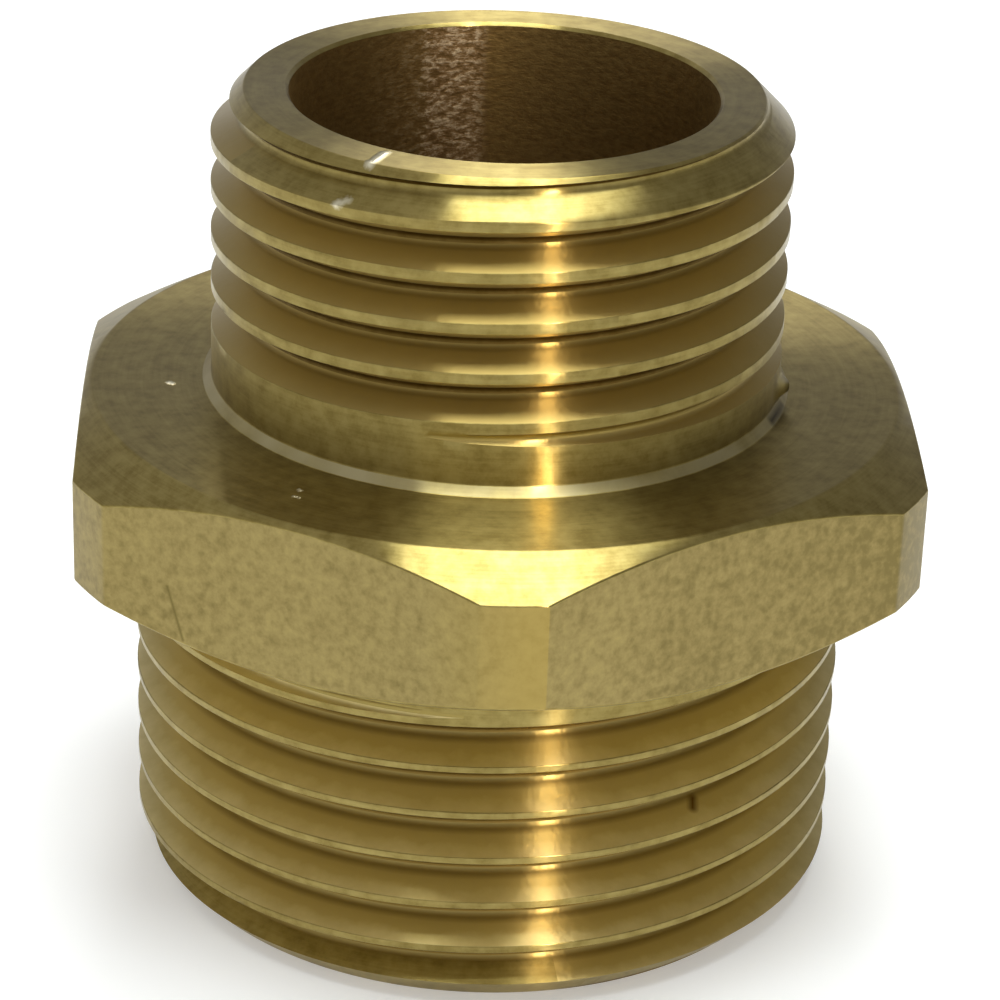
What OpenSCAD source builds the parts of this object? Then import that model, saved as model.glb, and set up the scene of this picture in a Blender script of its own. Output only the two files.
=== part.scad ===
// Brass reducing hexagon nipple, turned in one piece from hexagon bar.
// A parallel pipe thread on each side of the hexagon: the larger one below, the smaller one above.
// The origin is the middle of the lower end face, +Z runs up the bore, and -Y is the front.

/* [Lengths] */
// Length of the lower thread, from its end face to the hexagon
lower_len = 13; // [12:0.5:16]
// Thickness of the hexagon
hex_h = 6; // [5:0.5:10]
// Length of the upper thread and its neck, from the hexagon to the end face
upper_len = 11; // [10:0.5:14]

/* [Hexagon] */
// Width across the flats
hex_af = 30; // [29:0.5:34]
// Diameter that the six corners are turned down to
corner_d = 33.4; // [33.1:0.1:33.5]
// Angle of the turned chamfers above and below, measured from the flat top
hex_chamfer_angle = 29; // [20:1:35]
// Diameter where both chamfers start
chamfer_start_d = 29.5; // [28.8:0.1:29.8]
// Radius of the fillet between the neck and the hexagon
neck_fillet = 0.3; // [0.1:0.05:0.6]

/* [Threads] */
// Standard major diameter of the lower thread
lower_nominal_d = 26.441; // [26.2:0.001:26.6]
// Standard major diameter of the upper thread
upper_nominal_d = 20.955; // [20.8:0.001:21.1]
// Turned diameter of the lower thread's crests
lower_crest_d = 26.4; // [26.2:0.05:26.4]
// Turned diameter of the upper thread's crests
upper_crest_d = 20.8; // [20.7:0.05:20.9]
// Threads to the inch, on both ends
threads_per_inch = 14; // [14:1:16]
// Lead-in chamfer of the upper end face, at 45 degrees
upper_lead_in = 1.15; // [0.6:0.05:1.4]
// Lead-in chamfer of the lower end face, at 45 degrees
lower_lead_in = 1.2; // [0.6:0.05:1.4]
// Height of the lower thread's last crest below the hexagon, at the front
lower_last_crest = 1.38; // [1.3:0.02:1.8]
// Depth of the upper thread's first crest below the end face, at the front
upper_first_crest = 1.31; // [1.2:0.01:1.4]

/* [Bore] */
// Bore through the upper end
upper_bore_d = 15.3; // [13:0.1:16]
// Larger bore in the lower end
lower_bore_d = 20; // [17:0.5:21]
// Depth of the larger bore, up to the cone that the drill leaves
lower_bore_depth = 12; // [8:0.5:13]
// Chamfer on the two edges of the bore, at 45 degrees
bore_edge = 0.2; // [0.1:0.05:0.4]

/* [Hidden] */
$fn = 96;

// Planes, from the bottom up.
hex_z = lower_len;
neck_z = lower_len + hex_h;
top_z = neck_z + upper_len;

// The 55 degree pipe thread form: flats of a sixth of the pitch at the crest and at the root.
pitch = 25.4 / threads_per_inch;
thread_depth = 0.6403 * pitch;
flank = 27.5;
root_flat = pitch / 6;

// The groove's cutter stands this far clear of the crests, and turns this far in one step.
clear = 0.25;
step = 12;
// The groove fades out over this turn, and ends at these angles, counted from the front to the right.
fade = 144;
lower_fade_end = -3;
upper_fade_end = -19;
// Pitches from the upper thread's first crest down to the groove that fades into the neck.
upper_grooves_down = 4.5;

drill_cone_h = (lower_bore_d - upper_bore_d) / 2 / tan(59);
eps = 0.01;

// One section of the cutter: a trapezoid on the helix at angle a, with its root at radius r_root.
function groove_section(a, z, r_root, r_out) =
    let (half_root = root_flat / 2, half_out = half_root + (r_out - r_root) * tan(flank))
    [for (p = [[r_root, -half_root], [r_out, -half_out], [r_out, half_out], [r_root, half_root]])
        [p[0] * sin(a), -p[0] * cos(a), z + p[1]]];

// How much of the full depth the groove has at turn t past the end where it fades out.
function share(t) = min(1, t / fade);

// A helical groove that fades out at angle a_end, at height z_end, and runs for some turns away from it.
// way is 1 where the groove runs up from its faded end, and -1 where it runs down from it.
// Where it fades, the tool backed out along the flank next to the last crest, so that crest keeps its width.
module groove(nominal_d, crest_d, a_end, z_end, turns, way) {
    r_out = crest_d / 2 + clear;
    r_start = crest_d / 2 + eps;
    r_deep = nominal_d / 2 - thread_depth;
    count = ceil(turns * 360 / step);
    sections = [for (i = [0 : count])
        let (t = i * step, backed_out = (r_start - r_deep) * (1 - share(t)))
        groove_section(a_end + way * t, z_end + way * (pitch * t / 360 + backed_out * tan(flank)),
                       r_deep + backed_out, r_out)];
    points = [for (s = sections, p = s) p];
    sides = [for (i = [0 : count - 1], k = [0 : 3])
        let (a = 4 * i + k, b = 4 * i + (k + 1) % 4)
        each [[a, b, b + 4], [a, b + 4, a + 4]]];
    last = 4 * count;
    caps = [[3, 2, 1, 0], [last, last + 1, last + 2, last + 3]];
    faces = [for (f = concat(sides, caps)) way > 0 ? f : [for (k = [len(f) - 1 : -1 : 0]) f[k]]];
    polyhedron(points = points, faces = faces, convexity = 12);
}

module lower_groove() {
    z_end = hex_z - lower_last_crest + pitch / 2;
    groove(lower_nominal_d, lower_crest_d, lower_fade_end,
           z_end + pitch * lower_fade_end / 360, (z_end + pitch) / pitch, -1);
}

module upper_groove() {
    z_front = top_z - upper_first_crest - upper_grooves_down * pitch;
    z_end = z_front + pitch * upper_fade_end / 360;
    groove(upper_nominal_d, upper_crest_d, upper_fade_end,
           z_end, (top_z + pitch - z_end) / pitch, 1);
}

// The turned outline of one threaded end, from the axis out, with its 45 degree lead-in.
module shank(z_low, z_high, d, lead_low, lead_high) {
    rotate_extrude()
        polygon([[0, z_low], [d / 2 - lead_low, z_low], [d / 2, z_low + lead_low],
                 [d / 2, z_high - lead_high], [d / 2 - lead_high, z_high], [0, z_high]]);
}

// The hexagon, with its corners turned down and a chamfer turned above and below.
module hexagon() {
    rise = (corner_d - chamfer_start_d) / 2 * tan(hex_chamfer_angle);
    intersection() {
        translate([0, 0, hex_z])
            rotate(30)
                cylinder(h = hex_h, d = hex_af / cos(30), $fn = 6);
        rotate_extrude()
            polygon([[0, hex_z], [chamfer_start_d / 2, hex_z], [corner_d / 2, hex_z + rise],
                     [corner_d / 2, neck_z - rise], [chamfer_start_d / 2, neck_z], [0, neck_z]]);
    }
}

// The concave fillet where the neck meets the top of the hexagon.
module fillet() {
    neck_r = upper_crest_d / 2;
    rotate_extrude()
        difference() {
            translate([neck_r - eps, neck_z - eps])
                square([neck_fillet + eps, neck_fillet + eps]);
            translate([neck_r + neck_fillet, neck_z + neck_fillet])
                circle(r = neck_fillet);
        }
}

// The stepped bore: a wide one from below, the drill's cone, and the narrower one to the top.
module bore() {
    r1 = lower_bore_d / 2;
    r2 = upper_bore_d / 2;
    rotate_extrude()
        polygon([[0, -1], [r1 + bore_edge + 1, -1], [r1, bore_edge], [r1, lower_bore_depth],
                 [r2, lower_bore_depth + drill_cone_h], [r2, top_z - bore_edge],
                 [r2 + bore_edge + 1, top_z + 1], [0, top_z + 1]]);
}

module nipple() {
    color("darkgoldenrod")
        difference() {
            union() {
                shank(0, hex_z + 1, lower_crest_d, lower_lead_in, 0);
                hexagon();
                fillet();
                shank(neck_z - 1, top_z, upper_crest_d, 0, upper_lead_in);
            }
            lower_groove();
            upper_groove();
            bore();
        }
}

nipple();
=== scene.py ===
"""Looks of the brass reducing hexagon nipple: one turned piece that stands for the CAD node.

Lengths are in millimetres until MM brings them to the scene's metres. Angles round the axis are
counted from the front (-Y) to the right (+X).
"""

import math

import bpy
from mathutils import Matrix, Vector

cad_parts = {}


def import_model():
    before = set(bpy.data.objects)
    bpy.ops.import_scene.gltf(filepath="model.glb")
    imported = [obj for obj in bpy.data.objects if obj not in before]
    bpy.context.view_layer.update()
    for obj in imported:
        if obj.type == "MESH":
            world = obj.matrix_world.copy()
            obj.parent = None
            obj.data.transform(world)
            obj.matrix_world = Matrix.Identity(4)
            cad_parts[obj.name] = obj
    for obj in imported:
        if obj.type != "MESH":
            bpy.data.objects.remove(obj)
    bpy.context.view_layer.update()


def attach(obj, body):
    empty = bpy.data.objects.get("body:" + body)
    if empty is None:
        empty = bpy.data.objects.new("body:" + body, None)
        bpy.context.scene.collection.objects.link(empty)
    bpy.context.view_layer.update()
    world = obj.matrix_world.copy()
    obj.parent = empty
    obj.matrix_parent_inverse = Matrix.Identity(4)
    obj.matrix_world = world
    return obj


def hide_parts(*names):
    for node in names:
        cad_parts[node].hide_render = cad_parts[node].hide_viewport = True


MM = 0.001
SEGMENTS = 144  # around every turned surface, and in one turn of a thread

# The thread form: 14 to the inch, 55 degrees, with a rounded root and eased crest edges.
PITCH = 25.4 / 14
FLANK = math.radians(27.5)
THREAD_DEPTH = 0.6403 * PITCH
ROOT_RADIUS = 0.1373 * PITCH
ROOT_HALF = 0.6068 * ROOT_RADIUS  # from the middle of the groove to a flank, at the root's depth
CREST_EDGE = 0.045
CUTTER_CLEAR = 0.3  # how far a groove's cutter stands clear of the crests
FADE = math.radians(144)  # the turn over which a groove fades out
CHATTER = 0.012  # how far the tool wandered in and out

# Heights and radii, from the bottom up and from the outside in.
HEX_LOW, HEX_HIGH, TOP = 13.0, 19.0, 30.0
ACROSS_FLATS, CORNER_R, CHAMFER_START_R = 30.0, 16.7, 14.75
CHAMFER_RISE = (CORNER_R - CHAMFER_START_R) * math.tan(math.radians(29))
FLAT_EASE = 0.06
LOWER_R, UPPER_R = 13.2, 10.4
LOWER_DEEP = 26.441 / 2 - THREAD_DEPTH - 0.08  # cut a little deeper, which leaves narrower crests
UPPER_DEEP = 20.955 / 2 - THREAD_DEPTH
LOWER_LEAD_IN, UPPER_LEAD_IN = 1.2, 1.15
LEAD_IN_ZONE = 1.2  # near either end, where a groove only marks the lead-in
FILLET = 0.32
LOWER_BORE, UPPER_BORE = 10.0, 7.65
LOWER_BORE_EDGE, UPPER_BORE_EDGE = 0.2, 0.12
BORE_STEP = 12.0  # where the lower bore ends, and the drill's cone begins
CONE_RISE = (LOWER_BORE - UPPER_BORE) / math.tan(math.radians(59))

# Rings of points round the neck, by height over the hexagon, for the burr and the fading groove.
NECK_RINGS = (0.4, 0.5, 0.6, 0.75, 0.9, 1.05, 1.2, 1.5, 1.9, 2.3)
BURR_ANGLE, BURR_HEIGHT, BURR_OUT = 77.5, 0.68, 0.38  # in degrees, over the hexagon, and proud of the neck

# Each groove: its name, the radius of its root and of the crests, the angle where it has faded out,
# the height there brought round to the front, its turns, and 1 where it runs up from there, or -1 down.
GROOVES = (
    ("lower_groove", LOWER_DEEP, LOWER_R, math.radians(-2.5), HEX_LOW - 1.38 + PITCH / 2, 8, -1),
    ("upper_groove", UPPER_DEEP, UPPER_R, math.radians(-20), TOP - 1.31 - 4.5 * PITCH, 7, 1),
)

# ROOT_CUT's dark brown is painted shade in the roots of the grooves.
DRAWN, TURNED, FLANK_CUT, ROOT_CUT, BORED = range(5)  # the finishes, as material slots


# ---------------------------------------------------------------- shape

def deselect():
    bpy.ops.object.select_all(action="DESELECT")


def edit(obj, kind="VERT"):
    bpy.context.view_layer.objects.active = obj
    bpy.ops.object.mode_set(mode="EDIT")
    bpy.ops.mesh.select_mode(type=kind)


def select_mesh():
    bpy.ops.mesh.select_all(action="SELECT")


def leave():
    bpy.ops.object.mode_set(mode="OBJECT")


def rounded(corners):
    """The turned outline: every corner (radius, height, edge radius) becomes a small arc."""
    points = []
    for i, (r, z, edge) in enumerate(corners):
        here = Vector((r, z))
        if edge == 0:
            points.append(here)
            continue
        before = (Vector(corners[i - 1][:2]) - here).normalized()
        after = (Vector(corners[(i + 1) % len(corners)][:2]) - here).normalized()
        half = before.angle(after) / 2
        centre = here + (before + after).normalized() * edge / math.sin(half)
        a = here + before * edge / math.tan(half) - centre
        b = here + after * edge / math.tan(half) - centre
        steps = max(2, round(math.degrees(a.angle(b)) / 15))
        for k in range(steps + 1):
            points.append(centre + a.slerp(b, k / steps).normalized() * edge)
    return points


def turned_blank():
    """The bar after turning and boring, before the hexagon's flats and the threads."""
    outline = rounded([
        (LOWER_BORE + LOWER_BORE_EDGE, 0, 0.04), (LOWER_R - LOWER_LEAD_IN, 0, 0.1),
        (LOWER_R, LOWER_LEAD_IN, 0.1), (LOWER_R, HEX_LOW, 0), (CHAMFER_START_R, HEX_LOW, 0.1),
        (CORNER_R, HEX_LOW + CHAMFER_RISE, 0.07), (CORNER_R, HEX_HIGH - CHAMFER_RISE, 0.07),
        (CHAMFER_START_R, HEX_HIGH, 0.25), (UPPER_R + FILLET, HEX_HIGH, 0.05),
        (UPPER_R, HEX_HIGH + FILLET, 0.05), *[(UPPER_R, HEX_HIGH + rise, 0) for rise in NECK_RINGS],
        (UPPER_R, TOP - UPPER_LEAD_IN, 0.1), (UPPER_R - UPPER_LEAD_IN, TOP, 0.1),
        (UPPER_BORE + UPPER_BORE_EDGE, TOP, 0.03), (UPPER_BORE, TOP - UPPER_BORE_EDGE, 0.03),
        (UPPER_BORE, BORE_STEP + CONE_RISE, 0.1), (LOWER_BORE, BORE_STEP, 0.2),
        (LOWER_BORE, LOWER_BORE_EDGE, 0.04),
    ])
    first = outline[0]
    bpy.ops.mesh.primitive_circle_add(vertices=SEGMENTS, radius=first[0] * MM,
                                      location=(0, 0, first[1] * MM))
    blank = bpy.context.object
    bpy.ops.object.transform_apply(location=True, rotation=True, scale=True)
    edit(blank)
    select_mesh()
    for a, b in zip(outline, outline[1:] + [first]):
        wider = b[0] / a[0]
        bpy.ops.mesh.extrude_region_move(
            TRANSFORM_OT_translate={"value": (0, 0, (b[1] - a[1]) * MM)})
        bpy.ops.transform.resize(value=(wider, wider, 1), center_override=(0, 0, b[1] * MM))
    select_mesh()
    bpy.ops.mesh.remove_doubles(threshold=0.002 * MM)
    bpy.ops.mesh.normals_make_consistent(inside=False)
    leave()
    return blank


def flat_normals():
    turns = [math.radians(60 * k) for k in range(6)]
    return [Vector((math.cos(turn), math.sin(turn), 0)) for turn in turns]


def on_flat(face):
    return any(abs(face.center.dot(n) - ACROSS_FLATS / 2 * MM) < 0.01 * MM and face.normal.dot(n) > 0.999
               for n in flat_normals())


def raise_burr(blank):
    """A small burr that the tool left low on the neck, on the right."""
    for v in blank.data.vertices:
        around = math.degrees(math.atan2(v.co.x, -v.co.y)) - BURR_ANGLE
        up = v.co.z / MM - HEX_HIGH - BURR_HEIGHT
        if abs(around) < 8 and abs(up) < 0.5 and v.co.xy.length < (UPPER_R + 0.1) * MM:
            v.co.xy *= 1 + BURR_OUT * math.exp(-(around / 2.6) ** 2 - (up / 0.36) ** 4) / UPPER_R


def hexagon_flats(blank):
    """Cuts the six flats off the turned disc, and eases their edges."""
    edit(blank)
    for n in flat_normals():
        select_mesh()
        bpy.ops.mesh.bisect(plane_co=n * (ACROSS_FLATS / 2 * MM), plane_no=n, use_fill=True,
                            clear_outer=True, threshold=0.0001 * MM)
    bpy.ops.mesh.select_all(action="DESELECT")
    leave()
    for face in blank.data.polygons:
        face.select = on_flat(face)
    edit(blank, "FACE")
    bpy.ops.mesh.region_to_loop()
    bpy.ops.mesh.bevel(offset=FLAT_EASE * MM, segments=2, affect="EDGES", clamp_overlap=False)
    leave()


def groove_section(deep, crest):
    """The groove as (radius, rise): three points of the rounded root on each side of its middle,
    then four of the crest edge, and one clear of the crest."""
    turn = math.pi / 2 - FLANK
    centre = deep + ROOT_RADIUS
    side = []
    for k in range(3):
        a = turn * (2 * k + 1) / 5
        side.append((centre - ROOT_RADIUS * math.cos(a), ROOT_RADIUS * math.sin(a)))
    flank_top = ROOT_HALF + (crest - deep) * math.tan(FLANK)
    reach = CREST_EDGE * math.tan(turn / 2)
    for k in range(4):
        a = turn * 0.8 * k / 3
        side.append((crest - CREST_EDGE * (1 - math.cos(turn - a)),
                     flank_top + reach - CREST_EDGE * math.sin(turn - a)))
    side.append((crest + CUTTER_CLEAR, side[-1][1]))
    return [(r, -w) for r, w in reversed(side)] + side


def finish_groove(cutter, ring):
    """Gives the cutter's faces the finish that they leave; ring is the number of points in its section."""
    middle = ring // 2
    for face in cutter.data.polygons:
        place = [v % ring for v in face.vertices]
        height = sum(cutter.data.vertices[v].co.z for v in face.vertices) / len(face.vertices) / MM
        # Root faces take the root material, whose dark brown is painted shade.
        root = middle - 1 <= min(place) and max(place) <= middle + 2
        groove = middle - 4 <= min(place) and max(place) <= middle + 3
        lead_in = height < LEAD_IN_ZONE or height > TOP - LEAD_IN_ZONE
        if not groove or lead_in and not (root and max(place) > middle):
            face.material_index = TURNED
        else:
            face.material_index = ROOT_CUT if root else FLANK_CUT


def groove_cutter(name, deep, crest, end_angle, front_height, turns, way):
    """A screwed groove, as GROOVES describes it. Where it fades, the tool backed out along the flank
    of the last crest."""
    end_height = front_height + PITCH * end_angle / math.tau
    section = groove_section(deep, crest)
    bpy.ops.mesh.primitive_circle_add(vertices=len(section), radius=MM)
    cutter = bpy.context.object
    cutter.name = name
    low = end_height if way > 0 else end_height - turns * PITCH
    for v, (r, w) in zip(cutter.data.vertices, section):
        v.co = Vector((r * math.sin(end_angle), -r * math.cos(end_angle), low + w)) * MM
    screw = cutter.modifiers.new("screw", "SCREW")
    screw.axis = "Z"
    screw.angle = math.tau
    screw.screw_offset = PITCH * MM
    screw.iterations = turns
    screw.steps = screw.render_steps = SEGMENTS
    screw.use_merge_vertices = False
    bpy.ops.object.modifier_apply(modifier=screw.name)
    finish_groove(cutter, len(section))
    for v in cutter.data.vertices:
        around = math.atan2(v.co.x, -v.co.y) - end_angle
        rise = (v.co.z / MM - end_height) / PITCH
        run = (around + math.tau * round(rise - around / math.tau)) * way
        out = (crest + 0.02 - deep) * (1 - min(1, max(0, run / FADE)))
        v.co.z += out * way * math.tan(FLANK) * MM
        out += CHATTER * math.sin(run * 2.3 + 1) * math.sin(run * 7.1)
        v.co.xy *= 1 + out * MM / v.co.xy.length
    edit(cutter)
    select_mesh()
    bpy.ops.mesh.fill_holes(sides=0)
    select_mesh()
    bpy.ops.mesh.normals_make_consistent(inside=False)
    leave()
    return cutter


def cut(piece, cutter):
    deselect()
    bpy.context.view_layer.objects.active = piece
    less = piece.modifiers.new("cut", "BOOLEAN")
    less.operation = "DIFFERENCE"
    less.solver = "EXACT"
    less.object = cutter
    for material in piece.data.materials:
        cutter.data.materials.append(material)
    bpy.ops.object.modifier_apply(modifier=less.name)
    bpy.data.objects.remove(cutter)


def zone(face):
    """The finish of a face of the blank, by its place and the way it looks."""
    r, z = face.center.xy.length / MM, face.center.z / MM
    if on_flat(face) or (r > CORNER_R - 0.3 and abs(face.normal.z) < 0.1):
        return DRAWN
    inward = face.normal.xy.dot(face.center.xy.normalized()) < -0.2
    return BORED if inward and r < LOWER_BORE + 0.1 and 0.25 < z < TOP - 0.25 else TURNED


def nipple_shape(finishes):
    """The whole piece; the finishes come in the order of their slots."""
    piece = turned_blank()
    raise_burr(piece)
    hexagon_flats(piece)
    for material in finishes:
        piece.data.materials.append(material)
    for face in piece.data.polygons:
        face.material_index = zone(face)
    for groove in GROOVES:
        cut(piece, groove_cutter(*groove))
    deselect()
    piece.select_set(True)
    bpy.context.view_layer.objects.active = piece
    bpy.ops.object.shade_smooth_by_angle(angle=math.radians(32))
    even = piece.modifiers.new("even", "WEIGHTED_NORMAL")
    even.keep_sharp = True
    even.weight = 80
    bpy.ops.object.modifier_apply(modifier=even.name)
    piece.name = "nipple_brass"
    return piece


# ---------------------------------------------------------------- nodes

def linear(code):
    """Linear colour of an sRGB hex code."""
    values = [int(code[i:i + 2], 16) / 255 for i in (1, 3, 5)]
    return (*[v / 12.92 if v <= 0.04045 else ((v + 0.055) / 1.055) ** 2.4 for v in values], 1)


def add(nodes, kind, inputs=None, **settings):
    """Adds one node, sets it up, and links or fills its inputs."""
    node = nodes.new(kind)
    for key, value in settings.items():
        setattr(node, key, value)
    for key, value in (inputs or {}).items():
        if isinstance(value, bpy.types.NodeSocket):
            node.id_data.links.new(value, node.inputs[key])
        else:
            node.inputs[key].default_value = value
    return node


def number(nodes, operation, *terms):
    """One sum on numbers, each given or from another node."""
    return add(nodes, "ShaderNodeMath", dict(enumerate(terms)), operation=operation).outputs[0]


def vector(nodes, operation, *terms, **scale):
    """One sum on vectors, which gives a vector or, for a length or a product, a number."""
    node = add(nodes, "ShaderNodeVectorMath", {**dict(enumerate(terms)), **scale}, operation=operation)
    return node.outputs["Value" if operation in ("LENGTH", "DISTANCE", "DOT_PRODUCT") else "Vector"]


def along(nodes, mm, axis):
    """How far along an axis a point lies."""
    return add(nodes, "ShaderNodeSeparateXYZ", {0: mm}).outputs[axis]


def between(nodes, value, start, end, low=0.0, high=1.0):
    """Goes from low to high as the value goes from start to end, and stays there past them."""
    return add(nodes, "ShaderNodeMapRange", {0: value, "From Min": start, "From Max": end,
                                             "To Min": low, "To Max": high}).outputs[0]


def mix(nodes, share, a, b):
    return add(nodes, "ShaderNodeMix", {0: share, 6: a, 7: b}, data_type="RGBA").outputs[2]


def ramp(nodes, pattern, stops):
    """Lays colours over a pattern: each stop is a level of the pattern and a linear colour."""
    node = add(nodes, "ShaderNodeValToRGB", {"Fac": pattern})
    marks = node.color_ramp.elements
    marks[0].position, marks[1].position = stops[0][0], stops[-1][0]
    for level, _ in stops[1:-1]:
        marks.new(level)
    for mark, (_, colour) in zip(marks, stops):
        mark.color = colour
    return node.outputs["Color"]


def tones(nodes, pattern, *stops):
    """The same, with sRGB hex codes for the colours."""
    return ramp(nodes, pattern, [(level, linear(code)) for level, code in stops])


def noise(nodes, place, size, detail=3.0, rough=0.6):
    """Soft noise whose patches are about that many millimetres across."""
    return add(nodes, "ShaderNodeTexNoise", {"Vector": place, "Scale": 1 / size, "Detail": detail,
                                             "Roughness": rough}).outputs["Fac"]


def from_axis(nodes, mm):
    """The way from the axis to a point, and its length."""
    flat = vector(nodes, "MULTIPLY", mm, (1, 1, 0))
    return flat, vector(nodes, "LENGTH", flat)


def tool_rings(nodes, mm, size, slowness):
    """Noise drawn out along the tool's path: fine across it, and changing slowly round the axis."""
    flat, radius = from_axis(nodes, mm)
    slow = vector(nodes, "SCALE", vector(nodes, "NORMALIZE", flat), Scale=slowness)
    across = number(nodes, "SUBTRACT", radius, along(nodes, mm, "Z"))
    across = number(nodes, "MULTIPLY", across, 1 / size)
    return add(nodes, "ShaderNodeTexNoise", {"Vector": slow, "W": across, "Scale": 1.0, "Detail": 3.0,
                                             "Roughness": 0.6}, noise_dimensions="4D").outputs["Fac"]


def below_crest(nodes, mm):
    """How far a point lies under the thread's crests, and 1 if it is in the upper thread."""
    upper = number(nodes, "GREATER_THAN", along(nodes, mm, "Z"), (HEX_LOW + HEX_HIGH) / 2)
    crest = number(nodes, "MULTIPLY_ADD", upper, UPPER_R - LOWER_R, LOWER_R)
    return number(nodes, "SUBTRACT", crest, from_axis(nodes, mm)[1]), upper


def near(nodes, mm, start, end, width):
    """1 on a short line on the part, falling to 0 at that distance from it."""
    line = Vector(end) - Vector(start)
    out = vector(nodes, "SUBTRACT", mm, start)
    share = vector(nodes, "DOT_PRODUCT", out, line / line.length_squared)
    share = add(nodes, "ShaderNodeClamp", {0: share}).outputs[0]
    foot = vector(nodes, "SCALE", line, Scale=share)
    return between(nodes, vector(nodes, "DISTANCE", out, foot), 0.0, width, 1.0, 0.0)


# ---------------------------------------------------------------- finishes

# A scratch on the left flat, and a dark fleck on a flank of the lower thread. Each mark here and
# below says where it starts and ends, and how wide it is.
SCRATCH = ((-11.58, -10.63, 15.5), (-11.05, -10.94, 13.6), 0.09)
FLECK = ((7.0, -10.05, 6.97), (6.98, -10.45, 6.8), 0.26)

# Small bright nicks on the turned faces.
NICKS = (
    ((-5.11, -8.44, 30), (-4.85, -7.9, 30), 0.26),
    ((-4.72, -7.75, 30), (-4.33, -6.93, 30), 0.24),
    ((-5.94, -8.5, 28.8), (-5.62, -8.5, 28.98), 0.28),
    ((-11.9, -1.1, 19), (-11.8, -1.2, 19), 0.16),
    ((-7.1, -10.15, 19), (-7.05, -10.25, 19), 0.1),
    ((-7.25, -10.7, 19), (-7.1, -10.8, 19), 0.1),
    ((3.35, 8.67, 30), (3.5, 8.62, 30), 0.12),
)

# Painted shade low on the neck, at the burr and under it.
BURR_SHADE = (
    ((10.62, -2.3, 19.4), (10.62, -2.3, 19.85), 0.42),
    ((10.3, -2.8, 19.2), (9.7, -4.2, 19.12), 0.34),
)


def new_finish(name, metal, roughness, ringed=False):
    """A bare metal finish, with the place on the part in millimetres for its patterns; metal is its
    plain colour, where no pattern is read."""
    material = bpy.data.materials.new(name)
    material.use_nodes = True
    nodes = material.node_tree.nodes
    shader = nodes["Principled BSDF"]
    shader.inputs["Metallic"].default_value = 1
    shader.inputs["Base Color"].default_value = linear(metal)
    shader.inputs["Roughness"].default_value = roughness
    if ringed:
        # Tool marks run round the axis, and stretch each highlight across them.
        shader.inputs["Anisotropic"].default_value = 1.0
        shader.inputs["Anisotropic Rotation"].default_value = 0.25
        tangent = add(nodes, "ShaderNodeTangent", direction_type="RADIAL", axis="Z")
        material.node_tree.links.new(tangent.outputs[0], shader.inputs["Tangent"])
    place = add(nodes, "ShaderNodeTexCoord").outputs["Object"]
    return material, nodes, shader, vector(nodes, "SCALE", place, Scale=1 / MM)


def paint(nodes, shader, colour, height, depth):
    """Links a colour, and a bump that is so many millimetres deep."""
    nodes.id_data.links.new(colour, shader.inputs["Base Color"])
    relief = add(nodes, "ShaderNodeBump", {"Height": height, "Strength": 1.0, "Distance": depth * MM})
    nodes.id_data.links.new(relief.outputs[0], shader.inputs["Normal"])


def drawn():
    """Drawn hexagon bar, left as it came: dull khaki with a fine grain, and painted shade that darkens it to
    the sides, more on the right.
    """
    material, nodes, shader, mm = new_finish("drawn_brass", "#95865A", 0.45)
    grain = noise(nodes, mm, 0.36)
    cloud = noise(nodes, mm, 5.0, 2.0, 0.5)
    side = along(nodes, mm, "X")
    level = number(nodes, "MULTIPLY_ADD", cloud, 0.35, grain)
    # Painted shade: the flats darken to the sides, and more so to the right.
    level = number(nodes, "MULTIPLY_ADD", side, -0.006, level)
    level = number(nodes, "MULTIPLY_ADD", number(nodes, "ABSOLUTE", side), -0.012, level)
    colour = tones(nodes, level, (0.36, "#7A6C40"), (0.54, "#8A7A4B"), (0.68, "#938352"), (1.0, "#A2915A"))
    # The corner in front, and the flat to its left, turn more golden towards the corner's right-hand edge.
    golden = between(nodes, side, -3.0, 0.4, 0.0, 0.6)
    left_of_edge = number(nodes, "LESS_THAN", side, 1.15)
    golden = number(nodes, "MULTIPLY", golden, left_of_edge)
    colour = mix(nodes, golden, colour, linear("#A08B49"))
    colour = mix(nodes, near(nodes, mm, *SCRATCH), colour, linear("#6E6136"))
    paint(nodes, shader, colour, grain, 0.004)
    return material


def turned():
    """Turned with a pointed tool: rings of fine marks, drawn a little coarser than the real ones."""
    material, nodes, shader, mm = new_finish("turned_brass", "#A09253", 0.28, ringed=True)
    marks = tool_rings(nodes, mm, 0.15, 3.5)
    blotch = noise(nodes, mm, 0.7, 4.0, 0.65)
    level = number(nodes, "MULTIPLY_ADD", marks, 0.5, blotch)
    colour = tones(nodes, level, (0.55, "#85743F"), (0.75, "#96854D"), (0.95, "#A39258"))
    # The facet where the neck meets the hexagon is painted pale as a highlight, more in some places than in
    # others.
    on_facet = number(nodes, "COMPARE", along(nodes, mm, "Z"), HEX_HIGH + 0.16, 0.14)
    patchy = tones(nodes, noise(nodes, mm, 2.5, 2.0, 0.5), (0.3, "#808080"), (0.7, "#FFFFFF"))
    fillet_highlight = number(nodes, "MULTIPLY", on_facet, patchy)
    colour = mix(nodes, fillet_highlight, colour, linear("#B0A47C"))
    # Painted shade at the burr and in the crevice under it.
    for shade_spot in BURR_SHADE:
        colour = mix(nodes, near(nodes, mm, *shade_spot), colour, linear("#3A2F12"))
    # Noise makes the nicks ragged, and pushes each point by this much on average.
    push = Vector((0.15, 0.15, 0.15))
    ragged = vector(nodes, "MULTIPLY_ADD", noise(nodes, mm, 0.18), push * 2, mm)
    nicked = 0.0
    for start, end, width in NICKS:
        nick = near(nodes, ragged, Vector(start) + push, Vector(end) + push, width)
        nicked = number(nodes, "MAXIMUM", nicked, nick)
    colour = mix(nodes, nicked, colour, linear("#FFF8DC"))
    height = number(nodes, "MULTIPLY_ADD", nicked, 10.0, marks)
    height = number(nodes, "MULTIPLY_ADD", blotch, 1.6, height)
    paint(nodes, shader, colour, height, 0.002)
    return material


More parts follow.
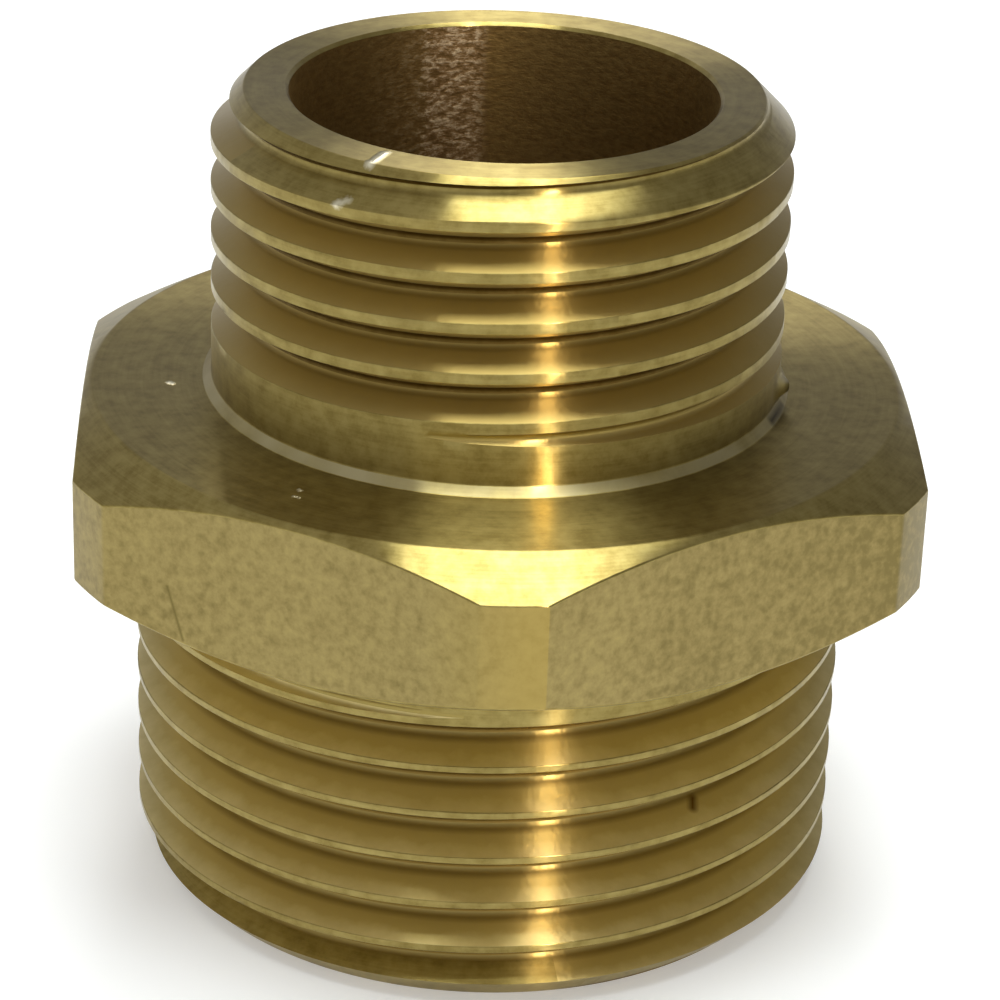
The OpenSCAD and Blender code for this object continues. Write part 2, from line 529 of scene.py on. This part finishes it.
def flank_cut():
    """Flanks cut by the threading tool. They mainly mirror each other, which darkens them, so the metal here
    is paler.
    Paler still on the lower thread is painted light; darker from the crests down to each flank's foot is
    painted shade."""
    material, nodes, shader, mm = new_finish("cut_thread_flank", "#A89255", 0.31, ringed=True)
    depth, upper = below_crest(nodes, mm)
    level = number(nodes, "MULTIPLY_ADD", noise(nodes, mm, 1.2, 4.0), 0.9, depth)
    # Painted light: the lower thread paler. Painted shade: darker further below the crests.
    on_lower = tones(nodes, level, (0.3, "#D2C086"), (1.0, "#B4A062"))
    on_upper = tones(nodes, level, (0.3, "#A99357"), (1.0, "#A28C50"))
    colour = mix(nodes, upper, on_lower, on_upper)
    # Painted shade: the foot of each flank, by the root, is darker.
    foot = between(nodes, depth, 0.85, 1.05, 0.0, 0.5)
    colour = mix(nodes, foot, colour, linear("#6E5A2C"))
    colour = mix(nodes, near(nodes, mm, *FLECK), colour, linear("#5E4518"))
    paint(nodes, shader, colour, noise(nodes, mm, 0.6), 0.008)
    return material


def root_cut():
    """The root of the thread, where the tip of the tool tore the metal. Its dark brown is painted shade:
    darkest on the upper thread, lighter on the lower one, and paler near the crests, where the groove fades."""
    material, nodes, shader, mm = new_finish("cut_thread_root", "#5C4A22", 0.45)
    torn = noise(nodes, mm, 0.5, 3.0, 0.7)
    # Painted shade in the root: dark on the upper thread, lighter on the lower one, paler where the groove is
    # shallow.
    on_upper = tones(nodes, torn, (0.3, "#544119"), (0.55, "#5F4C24"), (0.75, "#6A562C"))
    depth, upper = below_crest(nodes, mm)
    colour = mix(nodes, upper, linear("#7C6634"), on_upper)
    colour = mix(nodes, between(nodes, depth, 0.9, 0.3), colour, linear("#95844B"))
    paint(nodes, shader, colour, torn, 0.01)
    return material


def bored():
    """Drilled and bored: dull brown, with a torn, paler patch at the back where the tool chattered."""
    material, nodes, shader, mm = new_finish("bored_brass", "#9E814B", 0.5)
    rough = noise(nodes, vector(nodes, "MULTIPLY", mm, (1, 1, 2)), 0.4, 3.0, 0.7)
    plain = tones(nodes, rough, (0.35, "#7C6338"), (0.65, "#927948"))
    torn = tones(nodes, rough, (0.38, "#7A613B"), (0.5, "#9E825A"), (0.66, "#EBD9B6"))
    across = number(nodes, "MULTIPLY_ADD", rough, 1.2, along(nodes, mm, "X"))
    where = tones(nodes, between(nodes, across, -4.1, 0.45), (0.0, "#000000"), (0.42, "#808080"),
                  (0.52, "#FFFFFF"), (0.9, "#FFFFFF"), (1.0, "#000000"))
    paint(nodes, shader, mix(nodes, where, plain, torn), rough, 0.025)
    return material


# ---------------------------------------------------------------- studio

FLOOR_GREY, FLOOR_GLOW = 0.78, 0.3  # the glow keeps the floor white where it is seen or mirrored

# Each lamp: its name, place, size, radiance, where 1 looks white, and colour.
LAMPS = (
    ("overhead", (22, -8, 400), (290, 205), 7.6, (0.94, 1.0, 1.0)),
    ("behind", (0, 300, 300), (80, 200), 4.5, (1.0, 1.0, 1.0)),
    ("strip", (125, -380, 200), (5, 480), 160, (1.0, 0.86, 0.74)),
)
LAMP_AIM = (0, 0, 20)

# The room's grey over the height that one looks at, from the horizon (0) to overhead (1).
ROOM = ((0.1, 0.5), (0.2, 0.38), (0.8, 0.38), (1.0, 0.6))

CAMERA_PLACE = (-6.452, -121.003, 70.711)
CAMERA_PAN, CAMERA_TILT, CAMERA_ROLL = -3.205, 90 - 25.1085, 1.9619  # in degrees
CAMERA_LENS, CAMERA_SENSOR = 129.19, 36


def seen_or_mirrored(nodes):
    """1 for rays that see the floor, straight or by way of metal, and 0 for its light."""
    path = add(nodes, "ShaderNodeLightPath").outputs
    seen = number(nodes, "ADD", path["Is Camera Ray"], path["Is Glossy Ray"])
    return add(nodes, "ShaderNodeMath", {0: seen, 1: path["Is Transmission Ray"]},
               operation="ADD", use_clamp=True).outputs[0]


def floor():
    bpy.ops.mesh.primitive_circle_add(vertices=64, radius=3, fill_type="NGON", location=(0, 0, -0.01 * MM))
    ground = bpy.context.object
    ground.name = "floor"
    material = bpy.data.materials.new("pale_floor")
    material.use_nodes = True
    nodes = material.node_tree.nodes
    shader = nodes["Principled BSDF"]
    shader.inputs["Base Color"].default_value = (FLOOR_GREY, FLOOR_GREY, FLOOR_GREY, 1)
    shader.inputs["Roughness"].default_value = 0.9
    shader.inputs["Specular IOR Level"].default_value = 0
    shader.inputs["Emission Color"].default_value = (1, 1, 1, 1)
    glow = number(nodes, "MULTIPLY", seen_or_mirrored(nodes), FLOOR_GLOW)
    material.node_tree.links.new(glow, shader.inputs["Emission Strength"])
    ground.data.materials.append(material)


def lamp(name, place, size, radiance, colour):
    light = bpy.data.lights.new(name, "AREA")
    light.shape = "RECTANGLE"
    light.size, light.size_y = size[0] * MM, size[1] * MM
    light.energy = radiance * math.pi * light.size * light.size_y
    light.color = colour
    obj = bpy.data.objects.new(name, light)
    bpy.context.scene.collection.objects.link(obj)
    obj.location = Vector(place) * MM
    way = (Vector(LAMP_AIM) - Vector(place)).normalized()
    obj.rotation_euler = way.to_track_quat("-Z", "Y").to_euler()
    obj.visible_camera = False
    obj.visible_diffuse = name != "strip"  # the strip draws a streak on the metal, and leaves the floor white


def world():
    """A soft room: pale along the horizon and dimmer above it, and dimmer to the right and behind."""
    surround = bpy.data.worlds.new("studio")
    bpy.context.scene.world = surround
    surround.use_nodes = True
    nodes = surround.node_tree.nodes
    way = add(nodes, "ShaderNodeTexCoord").outputs["Generated"]
    grey = ramp(nodes, along(nodes, way, "Z"), [(height, (v, v, v, 1)) for height, v in ROOM])
    strength = number(nodes, "MULTIPLY_ADD", along(nodes, way, "Y"), -0.22, 1.12)
    strength = number(nodes, "MULTIPLY_ADD", along(nodes, way, "X"), -0.4, strength)
    back = nodes["Background"]
    surround.node_tree.links.new(grey, back.inputs["Color"])
    surround.node_tree.links.new(strength, back.inputs["Strength"])


def camera():
    data = bpy.data.cameras.new("camera")
    data.sensor_width = CAMERA_SENSOR
    data.lens = CAMERA_LENS
    data.clip_start, data.clip_end = 0.005, 20
    obj = bpy.data.objects.new("camera", data)
    bpy.context.scene.collection.objects.link(obj)
    turn = (Matrix.Rotation(math.radians(CAMERA_PAN), 3, "Z")
            @ Matrix.Rotation(math.radians(CAMERA_TILT), 3, "X")
            @ Matrix.Rotation(math.radians(CAMERA_ROLL), 3, "Z"))
    obj.location = Vector(CAMERA_PLACE) * MM
    obj.rotation_euler = turn.to_euler()
    bpy.context.scene.camera = obj


# ---------------------------------------------------------------- scene

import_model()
deselect()
bpy.context.scene.view_settings.view_transform = "Standard"

nipple = nipple_shape([drawn(), turned(), flank_cut(), root_cut(), bored()])
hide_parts("nipple")
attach(nipple, "root")

floor()
for settings in LAMPS:
    lamp(*settings)
world()
camera()
